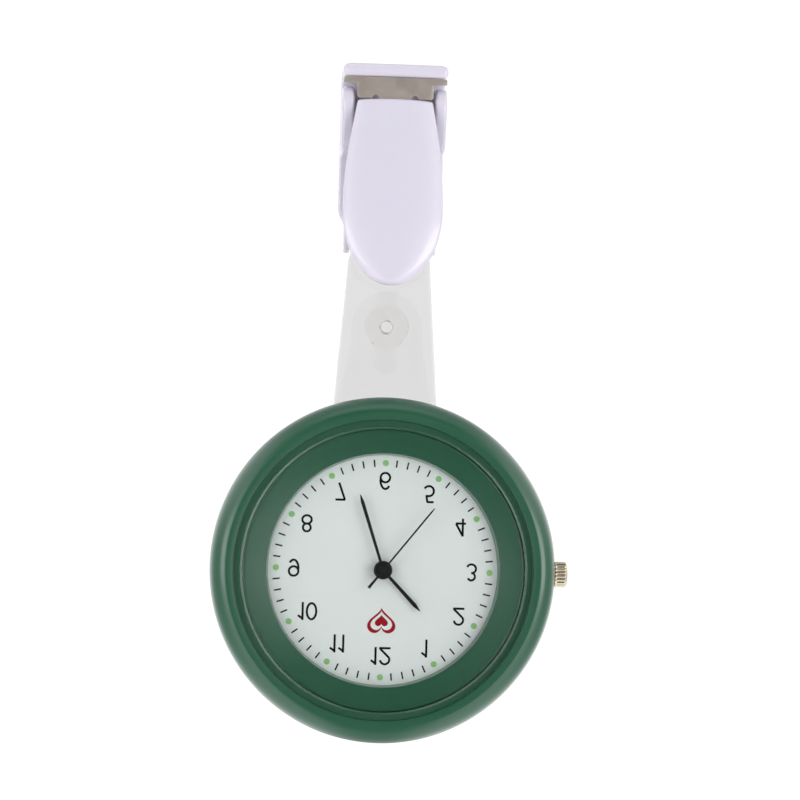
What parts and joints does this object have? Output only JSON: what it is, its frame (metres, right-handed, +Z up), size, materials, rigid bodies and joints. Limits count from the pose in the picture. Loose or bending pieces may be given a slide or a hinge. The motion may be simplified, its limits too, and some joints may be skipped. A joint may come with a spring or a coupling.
{
  "type": "fob watch",
  "caption": "Clip-on fob watch: spring clip with thumb lever, clear strap with press-stud, round case with crystal, dial, hands, crown and quartz movement.",
  "frame": {"origin": "centre of the back cover's outer face", "axes": "+Z up along the hanging watch, towards the clip; -Y the way the dial faces; +X towards the crown"},
  "size_m": [0.0448, 0.0122, 0.0848],
  "materials": {
    "green_plastic": "gloss dark green",
    "crystal": "clear",
    "dial_white": "matt white",
    "hand_black": "satin black",
    "clip_plastic": "gloss white",
    "clear_pvc": "clear flexible PVC",
    "spring_steel": "satin",
    "steel": "fine brushed",
    "nickel": "warm nickel plate",
    "brass": "satin",
    "copper_wire": "enamelled copper wire",
    "holder_plastic": "matt",
    "movement_plastic": "matt",
    "board": "solder mask",
    "chip": "matt",
    "seal_rubber": "matt",
    "magnet": "ground"
  },
  "bodies": {
    "clip": {"clip_rear_body": "clip_plastic", "clip_spring": "spring_steel"},
    "clip_lever": {"clip_thumb_lever": "clip_plastic"},
    "strap": {"strap": "clear_pvc", "snap_stud": "clear_pvc", "snap_socket": "clear_pvc"},
    "watch_case": {"case_body": "green_plastic", "inner_ring": "green_plastic", "crystal": "crystal", "dial": "dial_white", "back_cover": "steel", "back_gasket": "seal_rubber", "strap_pin": "steel", "crown_tube": "steel", "movement_holder": "holder_plastic", "main_plate": "movement_plastic", "train_bridge": "nickel", "battery_cell": "steel", "battery_strap": "spring_steel", "stator": "spring_steel", "coil": "copper_wire", "coil_core": "spring_steel", "circuit_board": "board", "ic_chip": "chip", "quartz_can": "steel", "bridge_screw_1": "steel", "bridge_screw_2": "steel", "bridge_screw_3": "steel"},
    "seconds_train": {"seconds_hand": "hand_black", "seconds_wheel": "brass"},
    "rotor": {"rotor": "magnet"},
    "intermediate": {"intermediate_wheel": "brass"},
    "third": {"third_wheel": "brass"},
    "minutes": {"centre_wheel": "brass", "minute_hand": "hand_black"},
    "minute_wheel": {"minute_wheel": "brass"},
    "hours": {"hour_wheel": "brass", "hour_hand": "hand_black"},
    "crown_seal": {"crown_gasket": "seal_rubber"},
    "crown": {"crown": "nickel", "winding_stem": "steel"},
    "sliding_pinion": {"sliding_pinion": "brass"},
    "setting_lever": {"setting_lever": "steel"},
    "yoke": {"yoke": "steel"}
  },
  "joints": [
    {"name": "clip_lever_press", "type": "hinge", "parent": "clip", "child": "clip_lever", "pos_m": [0, -0.0016, 0.0555], "axis": [1, 0, 0], "range_deg": [0, 15], "stiffness_Nm_per_rad": 0.15, "springref_deg": -20.05, "deforming": ["clip_spring"]},
    {"name": "strap_swing", "type": "hinge", "parent": "clip", "child": "strap", "pos_m": [0, 0.0011, 0.0412], "axis": [1, 0, 0], "range_deg": [-40, 60]},
    {"name": "case_tilt", "type": "hinge", "parent": "strap", "child": "watch_case", "pos_m": [0, 0.0011, 0.01922], "axis": [1, 0, 0], "range_deg": [-15, 75]},
    {"name": "seconds_hand_turn", "type": "hinge", "parent": "watch_case", "child": "seconds_train", "pos_m": [0, -0.005, 0], "axis": [0, -1, 0], "continuous": true},
    {"name": "rotor_turn", "type": "hinge", "parent": "watch_case", "child": "rotor", "pos_m": [-0.00245, -0.0033, 0.00372], "axis": [0, -1, 0], "continuous": true},
    {"name": "intermediate_turn", "type": "hinge", "parent": "watch_case", "child": "intermediate", "pos_m": [-0.00049, -0.0028, 0.00281], "axis": [0, -1, 0], "continuous": true},
    {"name": "third_turn", "type": "hinge", "parent": "watch_case", "child": "third", "pos_m": [0.00092, -0.0033, -0.00254], "axis": [0, -1, 0], "continuous": true},
    {"name": "minute_hand_turn", "type": "hinge", "parent": "watch_case", "child": "minutes", "pos_m": [0, -0.005, 0], "axis": [0, -1, 0], "continuous": true},
    {"name": "minute_wheel_turn", "type": "hinge", "parent": "watch_case", "child": "minute_wheel", "pos_m": [0.002, -0.0046, 0], "axis": [0, -1, 0], "continuous": true},
    {"name": "hour_hand_turn", "type": "hinge", "parent": "watch_case", "child": "hours", "pos_m": [0, -0.005, 0], "axis": [0, -1, 0], "continuous": true},
    {"name": "crown_pull", "type": "slide", "parent": "watch_case", "child": "crown_seal", "axis": [1, 0, 0], "range_m": [0, 0.0009]},
    {"name": "crown_turn", "type": "hinge", "parent": "crown_seal", "child": "crown", "pos_m": [0.022, -0.0034, 0], "axis": [1, 0, 0], "continuous": true},
    {"name": "sliding_pinion_shift", "type": "slide", "parent": "watch_case", "child": "sliding_pinion", "axis": [1, 0, 0], "range_m": [-0.00036, 0]},
    {"name": "setting_lever_swing", "type": "hinge", "parent": "watch_case", "child": "setting_lever", "pos_m": [0.0069, -0.0034, 0.0026], "axis": [0, -1, 0], "range_deg": [0, 22.5]},
    {"name": "yoke_swing", "type": "hinge", "parent": "watch_case", "child": "yoke", "pos_m": [0.0049, -0.0034, 0.0026], "axis": [0, -1, 0], "range_deg": [-8.3, 0]}
  ],
  "couplings": [
    {"joint": "rotor_turn", "follows": "seconds_hand_turn", "ratio": 30},
    {"joint": "intermediate_turn", "follows": "seconds_hand_turn", "ratio": -3.75},
    {"joint": "third_turn", "follows": "seconds_hand_turn", "ratio": -0.13333},
    {"joint": "minute_hand_turn", "follows": "seconds_hand_turn", "ratio": 0.016667},
    {"joint": "minute_wheel_turn", "follows": "seconds_hand_turn", "ratio": -0.0055556},
    {"joint": "hour_hand_turn", "follows": "seconds_hand_turn", "ratio": 0.0013889},
    {"joint": "sliding_pinion_shift", "follows": "crown_pull", "ratio": -0.38889},
    {"joint": "setting_lever_swing", "follows": "crown_pull", "rad_per_m": 428.96},
    {"joint": "yoke_swing", "follows": "crown_pull", "rad_per_m": -157.27}
  ]
}
